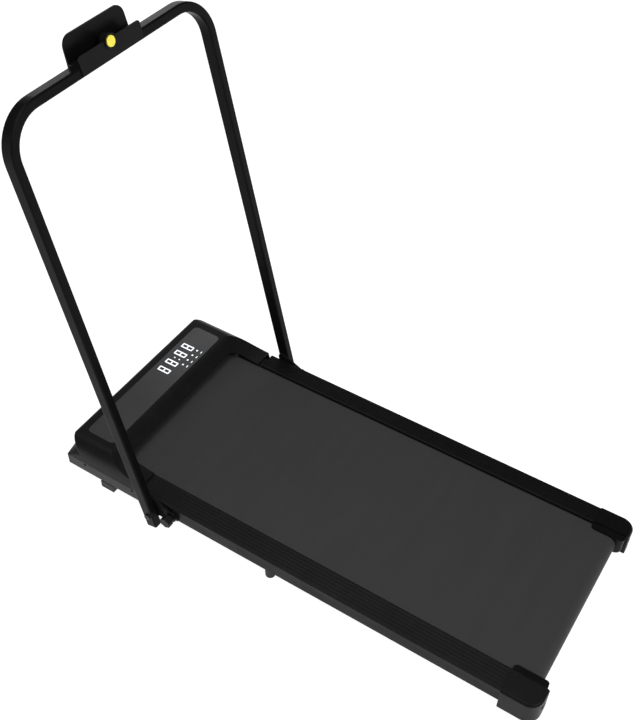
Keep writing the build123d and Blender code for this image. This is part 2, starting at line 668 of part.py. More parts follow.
with BuildPart() as lower_shroud:
    with BuildSketch(level(FRAME_BOTTOM - 0.5)) as shroud_plan:
        with Locations((0, (HOOD_ARM_REAR_Y + FRONT_Y) / 2)):
            Rectangle(2 * SHROUD_X, FRONT_Y - HOOD_ARM_REAR_Y)
        fillet(shroud_plan.vertices().group_by(Axis.Y)[-1], radius=SKIRT_CORNER)
        with Locations((0, (HOOD_ARM_REAR_Y + FRONT_Y) / 2 - SHROUD_WALL / 2 - 1)):
            Rectangle(
                2 * (SHROUD_X - SHROUD_WALL),
                FRONT_Y - HOOD_ARM_REAR_Y - SHROUD_WALL + 2,
                mode=Mode.SUBTRACT,
            )
    extrude(amount=SKIRT_TOP - FRAME_BOTTOM + 0.2)
    # pocket through the front wall for the power inlet and the power switch
    with BuildSketch(facing(FRONT_Y + 1)):
        with Locations((INLET_X, INLET_Z)):
            RectangleRounded(28.4, 20.4, 2)
        with Locations((SWITCH_X, INLET_Z)):
            RectangleRounded(19.4, 13.4, 1)
    extrude(amount=SHROUD_WALL + 2, mode=Mode.SUBTRACT)
    # screw holes on both sides
    for side in (-1, 1):
        for y in SHROUD_SCREW_Y:
            with BuildSketch(across(side * SHROUD_X - 4)):
                with Locations((y, SHROUD_SCREW_Z)):
                    Circle(3.4)
            extrude(amount=8, mode=Mode.SUBTRACT)
save(lower_shroud.part, "lower_shroud")

with BuildPart() as shroud_screws:
    for y in SHROUD_SCREW_Y:
        with BuildSketch(across(WEB_OUTER_X - SHEET - 3)):
            with Locations((y, SHROUD_SCREW_Z)):
                Circle(SCREW_RADIUS)
        extrude(amount=SHEET + 3.1)
        with BuildSketch(across(WEB_OUTER_X + 0.05)):
            with Locations((y, SHROUD_SCREW_Z)):
                Circle(3.1)
        extrude(amount=1.8)
        with BuildSketch(across(WEB_OUTER_X + 0.9)):
            with Locations((y, SHROUD_SCREW_Z)):
                RegularPolygon(1.4, 6, major_radius=False)
        extrude(amount=2, mode=Mode.SUBTRACT)
    mirror(about=Plane.YZ)
save(shroud_screws.part, "shroud_screws")

SHOULDER_RADIUS = 37.0
SHOULDER_X = 251.0
SLOPE_TOP_Y = 484.0  # where the hood's flat top starts to fall towards the belt
ARM_REAR_TOP = 79.5
HOOD_FRONT_Y = 587.0
FRONT_ROUND = 9.0
BODY_CORNER = 46.0
FLARE_TOP = 76.0
OPENING_HALF_WIDTH = 203.0
LENS_CENTRE_Y = 524.5
LENS_SIZE = (410.0, 77.0)
LENS_THICKNESS = 2.0
LENS_POCKET = 1.6


def hood_plan(x, front_y, corner):
    """Outline of the hood seen from above, with rounded front corners."""
    with BuildSketch() as plan:
        with Locations((0, (HOOD_ARM_REAR_Y + front_y) / 2)):
            Rectangle(2 * x, front_y - HOOD_ARM_REAR_Y)
        fillet(plan.vertices().group_by(Axis.Y)[-1], radius=corner)
    return plan.sketch


def hood_block(inset):
    """Solid bounded by the hood's outside, moved inwards by inset."""
    over = 1 if inset else 0  # the hollow runs out at the bottom and the rear
    top = HOOD_TOP - inset
    side = SHOULDER_X - inset
    radius = SHOULDER_RADIUS - inset
    front_y = HOOD_FRONT_Y - inset
    front_round = FRONT_ROUND - inset
    rear = HOOD_ARM_REAR_Y - over
    bottom = SKIRT_TOP - over
    with BuildPart() as block:
        # upper body: the plan's outline, under the rounded shoulders and the side view's curve
        with BuildSketch(level(bottom)):
            add(hood_plan(side, front_y, BODY_CORNER - inset))
        extrude(amount=top - bottom)
        with BuildSketch(facing(front_y)):
            with BuildLine():
                Polyline((-side, top - radius), (-side, bottom), (side, bottom), (side, top - radius))
                RadiusArc((side, top - radius), (side - radius, top), -radius)
                Line((side - radius, top), (-side + radius, top))
                RadiusArc((-side + radius, top), (-side, top - radius), -radius)
            make_face()
        extrude(amount=front_y - rear, mode=Mode.INTERSECT)
        with BuildSketch(across(-BODY_HALF_WIDTH - 1)):
            with BuildLine():
                Polyline(
                    (rear, ARM_REAR_TOP - inset),
                    (rear, bottom),
                    (front_y, bottom),
                    (front_y, top - front_round),
                )
                RadiusArc((front_y, top - front_round), (front_y - front_round, top), -front_round)
                Line((front_y - front_round, top), (SLOPE_TOP_Y, top))
                Bezier(
                    (SLOPE_TOP_Y, top),
                    (SLOPE_TOP_Y - 28, top),
                    (SLOPE_TOP_Y - 36, ARM_REAR_TOP - inset + 3),
                    (rear, ARM_REAR_TOP - inset),
                )
            make_face()
        extrude(amount=2 * BODY_HALF_WIDTH + 2, mode=Mode.INTERSECT)
        # flare from the body out to the skirt's square corners
        with BuildSketch(level(bottom)):
            add(hood_plan(BODY_HALF_WIDTH - inset, FRONT_Y - inset, SKIRT_CORNER))
        with BuildSketch(level(FLARE_TOP - inset)):
            add(hood_plan(side, front_y, BODY_CORNER - inset))
        loft(ruled=True)
    return block.part


with BuildPart() as motor_hood:
    add(hood_block(0))
    add(hood_block(HOOD_WALL), mode=Mode.SUBTRACT)
    # opening that the belt runs through, with rounded front corners
    with BuildSketch(level(SKIRT_TOP - 2)) as belt_opening:
        with Locations((0, (HOOD_ARM_REAR_Y + HOOD_REAR_Y) / 2 - 5)):
            Rectangle(2 * OPENING_HALF_WIDTH, HOOD_REAR_Y - HOOD_ARM_REAR_Y + 10)
        fillet(belt_opening.vertices().group_by(Axis.Y)[-1], radius=30)
    extrude(amount=HOOD_TOP, mode=Mode.SUBTRACT)
    # shelf that carries the display lens
    with BuildSketch(level(HOOD_TOP - LENS_POCKET - 2.4)):
        with Locations((0, LENS_CENTRE_Y)):
            RectangleRounded(LENS_SIZE[0] + 8, LENS_SIZE[1] + 8, 14)
    extrude(amount=2.4)
    with BuildSketch(level(HOOD_TOP - LENS_POCKET)):
        with Locations((0, LENS_CENTRE_Y)):
            RectangleRounded(LENS_SIZE[0] + 0.8, LENS_SIZE[1] + 0.8, 12)
    extrude(amount=LENS_POCKET + 1, mode=Mode.SUBTRACT)
    # window over the display board
    with BuildSketch(level(HOOD_TOP - LENS_POCKET - 3)):
        with Locations((88, LENS_CENTRE_Y)):
            RectangleRounded(130, 66, 5)
    extrude(amount=4, mode=Mode.SUBTRACT)
save(motor_hood.part, "motor_hood")

with BuildPart() as display_lens:
    with BuildSketch(level(HOOD_TOP - LENS_POCKET)):
        with Locations((0, LENS_CENTRE_Y)):
            RectangleRounded(LENS_SIZE[0], LENS_SIZE[1], 11.6)
    extrude(amount=LENS_THICKNESS)
    fillet(display_lens.faces().sort_by(Axis.Z)[-1].edges(), radius=0.4)
save(display_lens.part, "display_lens")

# digits and marks that shine through the lens: two hours digits, a colon, two minutes digits
LENS_TOP = HOOD_TOP - LENS_POCKET + LENS_THICKNESS
DIGIT_X = (42.0, 71.0, 106.5, 134.5)
COLON_X = 89.0
DIGIT_Y = 534.0
DIGIT_SIZE = (14.0, 33.0)
STROKE = 3.2
MARK_X = (80.5, 99.2, 118.5, 137.4)
MARK_Y = (507.0, 494.5)

with BuildPart() as display_digits:
    with BuildSketch(level(LENS_TOP)):
        with Locations(*[(x, DIGIT_Y) for x in DIGIT_X]):
            RectangleRounded(DIGIT_SIZE[0] + 0.4, DIGIT_SIZE[1], 2)
        for y in (DIGIT_Y - DIGIT_SIZE[1] / 4 + STROKE / 4, DIGIT_Y + DIGIT_SIZE[1] / 4 - STROKE / 4):
            with Locations(*[(x, y) for x in DIGIT_X]):
                Rectangle(DIGIT_SIZE[0] - 2 * STROKE, DIGIT_SIZE[1] / 2 - 1.5 * STROKE, mode=Mode.SUBTRACT)
        with Locations((COLON_X, DIGIT_Y - 9.0), (COLON_X, DIGIT_Y + 4.6)):
            Rectangle(3.4, 3.4)
        with Locations(*[(x, MARK_Y[0]) for x in MARK_X]):
            Circle(2.5)
        with Locations(*[(x, MARK_Y[1]) for x in MARK_X]):
            RectangleRounded(7.0, 2.2, 0.8)
    extrude(amount=0.25)
save(display_digits.part, "display_digits")

with BuildPart() as display_board:
    with BuildSketch(level(98.0)):
        with Locations((88, LENS_CENTRE_Y)):
            Rectangle(140, 60)
    extrude(amount=1.6)
    with BuildSketch(level(99.6)):
        with Locations((88, DIGIT_Y - 8)):
            RectangleRounded(118, 44, 3)
    extrude(amount=3.4)
save(display_board.part, "display_board")

# flat leads inside the motor bay: controller to display, and motor to controller
LEAD = 1.2
with BuildPart() as wiring:
    with BuildSketch(across(60.0)):
        with BuildLine() as display_lead:
            Polyline((510, CONTROLLER_TOP + 0.1), (510, 78), (530, 90), (530, 97.9))
        trace(line_width=LEAD)
    extrude(amount=14)
    with BuildSketch(facing(520.0)):
        with BuildLine() as motor_lead:
            Polyline(
                (MOTOR_X[1] + 0.7, MOTOR_Z - 10),
                (MOTOR_X[1] + 14, 50),
                (10, 46),
                (22, CONTROLLER_TOP + 0.7),
            )
        trace(line_width=LEAD)
    extrude(amount=8)
save(wiring.part, "wiring")

# ---------------------------------------------------------------- power inlet and switch
with BuildPart() as power_inlet:
    with BuildSketch(facing(FRONT_Y - 0.3)):
        with Locations((INLET_X, INLET_Z)):
            RectangleRounded(28, 20, 1.8)
    extrude(amount=14)
    with BuildSketch(facing(FRONT_Y - 0.2)):
        with Locations((INLET_X, INLET_Z)):
            RectangleRounded(22, 14, 2.5)
    extrude(amount=11, mode=Mode.SUBTRACT)
    with BuildSketch(facing(FRONT_Y - 12)):
        with Locations((INLET_X - 6, INLET_Z - 1.5), (INLET_X, INLET_Z + 2), (INLET_X + 6, INLET_Z - 1.5)):
            Rectangle(1.6, 3.6)
    extrude(amount=-9)
save(power_inlet.part, "power_inlet")

ROCKER_PIVOT_Y = FRONT_Y - 6.0
ROCKER_PIN_RADIUS = 1.5
ROCKER_PIN_REACH = 5.9
with BuildPart() as switch_housing:
    with BuildSketch(facing(FRONT_Y - 0.3)):
        with Locations((SWITCH_X, INLET_Z)):
            RectangleRounded(19, 13, 0.9)
    extrude(amount=14)
    with BuildSketch(facing(FRONT_Y - 0.2)):
        with Locations((SWITCH_X, INLET_Z)):
            Rectangle(15.6, 10)
    extrude(amount=11, mode=Mode.SUBTRACT)
    with BuildSketch(level(INLET_Z - ROCKER_PIN_REACH - 0.1)):
        with Locations((SWITCH_X, ROCKER_PIVOT_Y)):
            Circle(ROCKER_PIN_RADIUS + FIT)
    extrude(amount=2 * ROCKER_PIN_REACH + 0.2, mode=Mode.SUBTRACT)
save(switch_housing.part, "switch_housing")

ROCKER_TILT = 7.0
with BuildPart() as rocker_blank:
    with BuildSketch(level(INLET_Z - 4.7)):
        with BuildLine():
            Polyline((-6.6, 3.9), (0, 3.1), (6.6, 3.9), (5.6, -1.5), (0, -3.6), (-5.6, -1.5), close=True)
        make_face()
    extrude(amount=9.4)
    with BuildSketch(level(INLET_Z - ROCKER_PIN_REACH)):
        Circle(ROCKER_PIN_RADIUS)
    extrude(amount=2 * ROCKER_PIN_REACH)
power_rocker = Pos(SWITCH_X, ROCKER_PIVOT_Y, 0) * Rot(0, 0, ROCKER_TILT) * rocker_blank.part
save(power_rocker, "power_rocker")

# ---------------------------------------------------------------- feet and transport wheels
MID_FOOT = (240.0, 33.5)
REAR_FOOT = (232.0, -536.0)
with BuildPart() as rubber_feet:
    for side in (-1, 1):
        for x, y in (MID_FOOT, REAR_FOOT):
            with BuildSketch(level(0)):
                with Locations((side * x, y)):
                    Circle(FOOT_RADIUS)
            extrude(amount=FRAME_BOTTOM, taper=-1.5)
    fillet(rubber_feet.edges().filter_by(GeomType.CIRCLE).group_by(Axis.Z)[0], radius=2)
save(rubber_feet.part, "rubber_feet")

HOUSING_X = (221.5, 254.5)
HOUSING_LENGTH = 36.0
HOUSING_Z = (1.4, 23.0)
WHEEL_X = (229.5, 245.5)
with BuildPart() as wheel_housing:
    with BuildSketch(across(HOUSING_X[0])):
        with Locations((WHEEL_Y, (HOUSING_Z[0] + HOUSING_Z[1]) / 2)):
            RectangleRounded(HOUSING_LENGTH, HOUSING_Z[1] - HOUSING_Z[0], 1.6)
    extrude(amount=HOUSING_X[1] - HOUSING_X[0])
    with BuildSketch(level(HOUSING_Z[1] - 0.5)):
        with Locations((235, WHEEL_Y)):
            Rectangle(24, HOUSING_LENGTH - 4)
    extrude(amount=FRAME_BOTTOM - 0.6 - HOUSING_Z[1] + 0.5)
    with BuildSketch(across(WHEEL_X[0] - 1)):
        with Locations((WHEEL_Y, WHEEL_RADIUS)):
            Circle(WHEEL_RADIUS + 1.2)
        with Locations((WHEEL_Y, WHEEL_RADIUS - 10)):
            Rectangle(2 * WHEEL_RADIUS + 2.4, 20)
    extrude(amount=WHEEL_X[1] - WHEEL_X[0] + 2, mode=Mode.SUBTRACT)
    with BuildSketch(across(HOUSING_X[0] + 3)):
        with Locations((WHEEL_Y, WHEEL_RADIUS)):
            Circle(3.02)
    extrude(amount=HOUSING_X[1] - HOUSING_X[0] - 6, mode=Mode.SUBTRACT)
save_pair(wheel_housing.part, "wheel_housing")

with BuildPart() as transport_wheel:
    with BuildSketch(across(WHEEL_X[0])):
        with Locations((WHEEL_Y, WHEEL_RADIUS)):
            Circle(WHEEL_RADIUS)
    extrude(amount=WHEEL_X[1] - WHEEL_X[0])
    fillet(transport_wheel.edges().filter_by(GeomType.CIRCLE), radius=1.5)
    with BuildSketch(across(WHEEL_X[0] - 1)):
        with Locations((WHEEL_Y, WHEEL_RADIUS)):
            Circle(3.0 + FIT)
    extrude(amount=WHEEL_X[1] - WHEEL_X[0] + 2, mode=Mode.SUBTRACT)
save_pair(transport_wheel.part, "transport_wheel")

with BuildPart() as wheel_axles:
    for side in (-1, 1):
        with BuildSketch(across(side * (HOUSING_X[0] + 3.2))):
            with Locations((WHEEL_Y, WHEEL_RADIUS)):
                Circle(3.0)
        extrude(amount=side * (HOUSING_X[1] - HOUSING_X[0] - 6.4))
save(wheel_axles.part, "wheel_axles")

# ---------------------------------------------------------------- fold brackets, studs and knobs
LEG_BOLT_S = 15.1
PIN_S = 52.0


def leg_point(s):
    """Row position (y, z) on the leg's centre line, s up the leg."""
    lean = radians(LEAN)
    y = LEG_FOOT_Y + s * sin(lean) + TUBE_DEPTH / 2 * cos(lean)
    z = FRAME_BOTTOM + s * cos(lean) - TUBE_DEPTH / 2 * sin(lean)
    return y, z


BRACKET_OUTER_X = 256.2
BRACKET_BOLTS = ((300.0, 37.0), (317.0, 48.0))
PLATE_PIVOT_RADIUS = 14.0
PLATE_BOLT_RADIUS = 12.0
STOP_TOP = leg_point(LEG_BOLT_S)[1] - PLATE_BOLT_RADIUS - 0.4
STOP_BOTTOM = 18.0
with BuildPart() as fold_brackets:
    with BuildSketch(across(WEB_OUTER_X + 0.05)):
        with BuildLine():
            Polyline(
                (270, 33),
                (270, 57),
                (324, 57),
                (336, 40),
                (336, STOP_BOTTOM),
                (322, STOP_BOTTOM),
                (314, 31),
                close=True,
            )
        make_face()
        with Locations((PIVOT_Y, PIVOT_Z)):
            Circle(STUD_RADIUS + FIT, mode=Mode.SUBTRACT)
    extrude(amount=BRACKET_OUTER_X - WEB_OUTER_X - 0.05)
    # stop that the hinge plate rests on when the handlebar is up
    with BuildSketch(across(BRACKET_OUTER_X - 0.2)):
        with Locations((329, (STOP_TOP + STOP_BOTTOM) / 2)):
            Rectangle(13, STOP_TOP - STOP_BOTTOM)
    extrude(amount=HINGE_PLATE_X[1] - BRACKET_OUTER_X + 0.2)
    mirror(about=Plane.YZ)
save(fold_brackets.part, "fold_brackets")

with BuildPart() as bracket_bolts:
    for side in (-1, 1):
        for y, z in BRACKET_BOLTS:
            with BuildSketch(across(side * BRACKET_OUTER_X)):
                with Locations((y, z)):
                    Circle(4.0)
            extrude(amount=side * 1.3)
save(bracket_bolts.part, "bracket_bolts")

with BuildPart() as hinge_plate:
    with BuildSketch(across(HINGE_PLATE_X[0])):
        with Locations((PIVOT_Y, PIVOT_Z)):
            Circle(PLATE_PIVOT_RADIUS)
        with Locations(leg_point(LEG_BOLT_S)):
            Circle(PLATE_BOLT_RADIUS)
        with Locations(leg_point(PIN_S)):
            Circle(10)
        make_hull()
        with Locations((PIVOT_Y, PIVOT_Z)):
            Circle(STUD_RADIUS + FIT, mode=Mode.SUBTRACT)
        with Locations(leg_point(LEG_BOLT_S)):
            Circle(4.05, mode=Mode.SUBTRACT)
    extrude(amount=HINGE_PLATE_X[1] - HINGE_PLATE_X[0])
    # boss that spaces the leg off the plate, and the pin that stops it turning
    with BuildSketch(across(HINGE_PLATE_X[1])):
        with Locations(leg_point(LEG_BOLT_S)):
            Circle(9)
            Circle(4.05, mode=Mode.SUBTRACT)
        with Locations(leg_point(PIN_S)):
            Circle(7)
    extrude(amount=LEG_OUTER_X - TUBE_WIDTH - HINGE_PLATE_X[1] - 0.02)
    with BuildSketch(across(HINGE_PLATE_X[1])):
        with Locations(leg_point(PIN_S)):
            Circle(3)
    extrude(amount=LEG_OUTER_X - TUBE_WIDTH - HINGE_PLATE_X[1] + 5)
save_pair(hinge_plate.part, "hinge_plate")

NUT_X = (263.4, 271.4)
with BuildPart() as pivot_studs:
    for side, reach in ((-1, KNOB_X[1] - 4), (1, NUT_X[1] - 1.6)):
        with BuildSketch(across(side * (WEB_OUTER_X - SHEET - 4.0))):
            with Locations((PIVOT_Y, PIVOT_Z)):
                RegularPolygon(8.0, 6, major_radius=False)
        extrude(amount=side * 3.95)
        with BuildSketch(across(side * (WEB_OUTER_X - SHEET - 0.05))):
            with Locations((PIVOT_Y, PIVOT_Z)):
                Circle(STUD_RADIUS)
        extrude(amount=side * (reach - WEB_OUTER_X + SHEET + 0.05))
        with BuildSketch(across(side * (BRACKET_OUTER_X + 0.05))):
            with Locations((PIVOT_Y, PIVOT_Z)):
                Circle(9)
        extrude(amount=side * (HINGE_PLATE_X[0] - BRACKET_OUTER_X - 0.35))
save(pivot_studs.part, "pivot_studs")

# the right pivot has a plain cap nut; the left one is clamped by the knob
with BuildPart() as pivot_nut:
    with BuildSketch(across(NUT_X[0])):
        with Locations((PIVOT_Y, PIVOT_Z)):
            RegularPolygon(7.5, 6, major_radius=False)
    extrude(amount=5.5)
    with BuildSketch(across(NUT_X[0] + 5.5)):
        with Locations((PIVOT_Y, PIVOT_Z)):
            Circle(6.6)
    extrude(amount=NUT_X[1] - NUT_X[0] - 5.5)
    fillet(pivot_nut.faces().sort_by(Axis.X)[-1].edges(), radius=1.6)
    with BuildSketch(across(NUT_X[0] - 1)):
        with Locations((PIVOT_Y, PIVOT_Z)):
            Circle(STUD_RADIUS + 0.02)
    extrude(amount=NUT_X[1] - NUT_X[0] - 0.5, mode=Mode.SUBTRACT)
save(pivot_nut.part, "pivot_nut")

KNOB_LOBES = 6
KNOB_RADIUS = 13.5
with BuildPart() as lock_knob:
    with BuildSketch(across(KNOB_X[0] + 6)) as star:
        with Locations((PIVOT_Y, PIVOT_Z)):
            Circle(KNOB_RADIUS)
            with PolarLocations(KNOB_RADIUS + 3.0, KNOB_LOBES):
                Circle(4.6, mode=Mode.SUBTRACT)
        fillet(star.vertices(), radius=1.4)
    extrude(amount=KNOB_X[1] - KNOB_X[0] - 6)
    fillet(lock_knob.faces().sort_by(Axis.X)[-1].edges(), radius=1.2)
    with BuildSketch(across(KNOB_X[0])):
        with Locations((PIVOT_Y, PIVOT_Z)):
            Circle(8.5)
    extrude(amount=6)
    with BuildSketch(across(KNOB_X[0] - 1)):
        with Locations((PIVOT_Y, PIVOT_Z)):
            Circle(STUD_RADIUS + FIT)
    extrude(amount=KNOB_X[1] - KNOB_X[0] - 2, mode=Mode.SUBTRACT)
save(mirror(lock_knob.part, about=Plane.YZ), "lock_knob")

# ---------------------------------------------------------------- handlebar
TUBE_ROUND = 4.0


def u_path(h):
    """Centre line of the bent tube in its leaned plane."""
    with BuildLine(leaned(h)) as path:
        Line((-LEG_CENTRE_X, LEG_END_S), (-LEG_CENTRE_X, BEND_CENTRE_S))
        RadiusArc(
            (-LEG_CENTRE_X, BEND_CENTRE_S),
            (-LEG_CENTRE_X + BEND_RADIUS, BEND_CENTRE_S + BEND_RADIUS),
            BEND_RADIUS,
        )
        Line(
            (-LEG_CENTRE_X + BEND_RADIUS, BEND_CENTRE_S + BEND_RADIUS),
            (LEG_CENTRE_X - BEND_RADIUS, BEND_CENTRE_S + BEND_RADIUS),
        )
        RadiusArc(
            (LEG_CENTRE_X - BEND_RADIUS, BEND_CENTRE_S + BEND_RADIUS),
            (LEG_CENTRE_X, BEND_CENTRE_S),
            BEND_RADIUS,
        )
        Line((LEG_CENTRE_X, BEND_CENTRE_S), (LEG_CENTRE_X, LEG_END_S))
    return path


path = u_path(-TUBE_DEPTH / 2)
leg_axis = Vector(0, sin(radians(LEAN)), cos(radians(LEAN)))
leg_start = path.line @ 0
with BuildPart() as handlebar:
    with BuildSketch(Plane(origin=leg_start, x_dir=(1, 0, 0), z_dir=leg_axis)):
        RectangleRounded(TUBE_WIDTH, TUBE_DEPTH, TUBE_ROUND)
        RectangleRounded(
            TUBE_WIDTH - 2 * TUBE_WALL, TUBE_DEPTH - 2 * TUBE_WALL, TUBE_ROUND - TUBE_WALL, mode=Mode.SUBTRACT
        )
    sweep(path=path.line)
    # bolt and pin holes near the foot of each leg
    with BuildSketch(across(-LEG_OUTER_X - 1)):
        with Locations(leg_point(LEG_BOLT_S)):
            Circle(4.05)
    extrude(amount=2 * LEG_OUTER_X + 2, mode=Mode.SUBTRACT)
    with BuildSketch(across(-(LEG_OUTER_X - TUBE_WIDTH + 4))):
        with Locations(leg_point(PIN_S)):
            Circle(3.1)
    extrude(amount=2 * (LEG_OUTER_X - TUBE_WIDTH + 4), mode=Mode.SUBTRACT)
save(handlebar.part, "handlebar")

with BuildPart() as leg_plugs:
    for side in (-1, 1):
        foot = Vector(side * LEG_CENTRE_X, leg_start.Y, leg_start.Z)
        with BuildSketch(Plane(origin=foot, x_dir=(1, 0, 0), z_dir=-leg_axis)):
            RectangleRounded(TUBE_WIDTH, TUBE_DEPTH, TUBE_ROUND)
        extrude(amount=5)
        with BuildSketch(Plane(origin=foot, x_dir=(1, 0, 0), z_dir=leg_axis)):
            RectangleRounded(
                TUBE_WIDTH - 2 * TUBE_WALL - 0.2, TUBE_DEPTH - 2 * TUBE_WALL - 0.2, TUBE_ROUND - TUBE_WALL
            )
        extrude(amount=10)
    low_rims = leg_plugs.faces().filter_by(lambda f: f.normal_at().dot(leg_axis) < -0.99)
    fillet(low_rims.edges(), radius=2.4)
save(leg_plugs.part, "leg_plugs")

with BuildPart() as leg_bolts:
    for side in (-1, 1):
        y, z = leg_point(LEG_BOLT_S)
        with BuildSketch(across(side * (LEG_OUTER_X + 0.02))):
            with Locations((y, z)):
                Circle(7)
        extrude(amount=side * 2.4)
        with BuildSketch(across(side * (LEG_OUTER_X + 2.4))):
            with Locations((y, z)):
                Circle(7)
                RegularPolygon(2.5, 6, major_radius=False, mode=Mode.SUBTRACT)
        extrude(amount=side * 1.6)
        with BuildSketch(across(side * HINGE_PLATE_X[0])):
            with Locations((y, z)):
                Circle(4.0)
        extrude(amount=side * (LEG_OUTER_X + 0.1 - HINGE_PLATE_X[0]))
save(leg_bolts.part, "leg_bolts")

# ---------------------------------------------------------------- phone holder and its button
PLATE_H = (-31.2, -28.1)  # back plate, ahead of the bar
WALL_H = (0.1, 2.6)  # front wall, on the user's side of the bar
SADDLE_S = (BAR_TOP_S + 0.1, BAR_TOP_S + 3.6)
HOLDER_BOTTOM_S = 960.5
HOLDER_HALF_WIDTH = 84.0
PLATE_TOP_S = 1030.5
WALL_BOTTOM_S = 963.0
WALL_TOP_S = 998.0
BUTTON_S = 992.5
BUTTON_RADIUS = 10.4
BUTTON_BORE = 10.7
BOSS_RADIUS = 14.5
BOSS_H = (-11.0, 3.8)
BUTTON_TRAVEL = 2.0

with BuildPart() as phone_holder:
    # back plate with rounded upper corners
    with BuildSketch(leaned(PLATE_H[0])) as back_plate:
        with BuildLine():
            Polyline(
                (-HOLDER_HALF_WIDTH, HOLDER_BOTTOM_S),
                (HOLDER_HALF_WIDTH, HOLDER_BOTTOM_S),
                (HOLDER_HALF_WIDTH - 4, PLATE_TOP_S),
                (-HOLDER_HALF_WIDTH + 4, PLATE_TOP_S),
                close=True,
            )
        make_face()
        fillet(back_plate.vertices().group_by(Axis.Y)[-1], radius=22)
    extrude(amount=PLATE_H[1] - PLATE_H[0])
    # front wall
    with BuildSketch(leaned(WALL_H[0])) as front_wall:
        with Locations((0, (WALL_BOTTOM_S + WALL_TOP_S) / 2)):
            Rectangle(2 * HOLDER_HALF_WIDTH - 2, WALL_TOP_S - WALL_BOTTOM_S)
        fillet(front_wall.vertices().group_by(Axis.Y)[-1], radius=6)
    extrude(amount=WALL_H[1] - WALL_H[0])
    # saddle that joins them over the bar
    with BuildSketch(leaned(PLATE_H[0])):
        with Locations((0, (SADDLE_S[0] + SADDLE_S[1]) / 2)):
            Rectangle(2 * HOLDER_HALF_WIDTH - 2, SADDLE_S[1] - SADDLE_S[0])
    extrude(amount=WALL_H[1] - PLATE_H[0])
    # round housing of the button: a boss on the wall and its well in the slot
    with BuildSketch(leaned(0.5)):
        with Locations((0, BUTTON_S)):
            Circle(BOSS_RADIUS)
    extrude(amount=BOSS_H[1] - 0.5)
    with BuildSketch(leaned(BOSS_H[0])):
        with Locations((0, BUTTON_S)):
            Circle(BOSS_RADIUS)
        with Locations((0, SADDLE_S[0] - 20)):
            Rectangle(40, 40, mode=Mode.SUBTRACT)
    extrude(amount=-BOSS_H[0] + 1)
    with BuildSketch(leaned(BOSS_H[0] + 2)):
        with Locations((0, BUTTON_S)):
            Circle(BUTTON_BORE)
    extrude(amount=30, mode=Mode.SUBTRACT)
save(phone_holder.part, "phone_holder")

with BuildPart() as button_bezel:
    with BuildSketch(leaned(BOSS_H[1])):
        with Locations((0, BUTTON_S)):
            Circle(BOSS_RADIUS - 0.2)
            Circle(BUTTON_BORE + 0.1, mode=Mode.SUBTRACT)
    extrude(amount=1.4)
    chamfer(button_bezel.faces().sort_by(Axis.Z)[-1].edges(), length=0.5)
save(button_bezel.part, "button_bezel")

CAP_H = (-1.0, 6.8)
STEM_LENGTH = 3.0
with BuildPart() as button_cap:
    with BuildSketch(leaned(CAP_H[0])):
        with Locations((0, BUTTON_S)):
            Circle(BUTTON_RADIUS)
    extrude(amount=CAP_H[1] - CAP_H[0])
    crown = button_cap.edges().filter_by(GeomType.CIRCLE).sort_by(Axis.Z)[-1]
    fillet(crown, radius=1.6)
    with BuildSketch(leaned(CAP_H[0] - STEM_LENGTH)):
        with Locations((0, BUTTON_S)):
            Circle(3)
    extrude(amount=STEM_LENGTH + 0.2)
save(button_cap.part, "button_cap")

# micro switch at the bottom of the well; its plunger stands clear of the pressed stem
SWITCH_TOP_H = CAP_H[0] - STEM_LENGTH - BUTTON_TRAVEL - 0.2
with BuildPart() as button_switch:
    with BuildSketch(leaned(BOSS_H[0] + 2.2)):
        with Locations((0, BUTTON_S)):
            Circle(BUTTON_BORE - 0.3)
    extrude(amount=1.6)
    with BuildSketch(leaned(BOSS_H[0] + 3.8)):
        with Locations((0, BUTTON_S)):
            RectangleRounded(7, 7, 1)
    extrude(amount=SWITCH_TOP_H - BOSS_H[0] - 3.8)
save(button_switch.part, "button_switch")

HOLDER_SCREW_X = (-55.0, 55.0)
with BuildPart() as holder_screws:
    with BuildSketch(leaned(PLATE_H[0] - 1.6)):
        with Locations(*[(x, 969.5) for x in HOLDER_SCREW_X]):
            Circle(4)
            RegularPolygon(1.6, 6, major_radius=False, mode=Mode.SUBTRACT)
    extrude(amount=1.6)
save(holder_screws.part, "holder_screws")
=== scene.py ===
"""Looks of the walking treadmill: materials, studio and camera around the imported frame.

Row frame, in metres: +Z up, +Y the way the user faces (towards the motor hood), +X the user's
right, origin on the floor under the middle of the object.
"""

import json
import math

import bpy
from mathutils import Matrix, Vector

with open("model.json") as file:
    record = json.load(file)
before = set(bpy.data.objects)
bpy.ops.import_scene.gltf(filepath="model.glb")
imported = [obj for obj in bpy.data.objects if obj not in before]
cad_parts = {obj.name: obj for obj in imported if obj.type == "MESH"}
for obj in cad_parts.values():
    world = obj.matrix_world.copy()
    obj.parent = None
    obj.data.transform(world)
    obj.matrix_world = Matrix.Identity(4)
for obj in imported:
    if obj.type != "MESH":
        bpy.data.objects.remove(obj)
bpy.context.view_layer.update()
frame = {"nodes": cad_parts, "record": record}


# ---------------------------------------------------------------- camera, light and floor
CAMERA_AZIMUTH = math.radians(-57.594)
CAMERA_ELEVATION = math.radians(45.387)
CAMERA_ROLL = math.radians(0.284)
CAMERA_PLACE = Vector((-1.2493, -0.7220, 1.9320))
LENS = 52.38
SENSOR = 36.0
VIEW_REACH = 300.0

# the room: its white walls fade into a dim ceiling between two sines of elevation
WALL_TOP = 0.06
CEILING = 0.20
DIM = 0.06

FLOOR_REACH = 60.0
FLOOR_TONE = 0.3
FLOOR_GLOW = 0.95

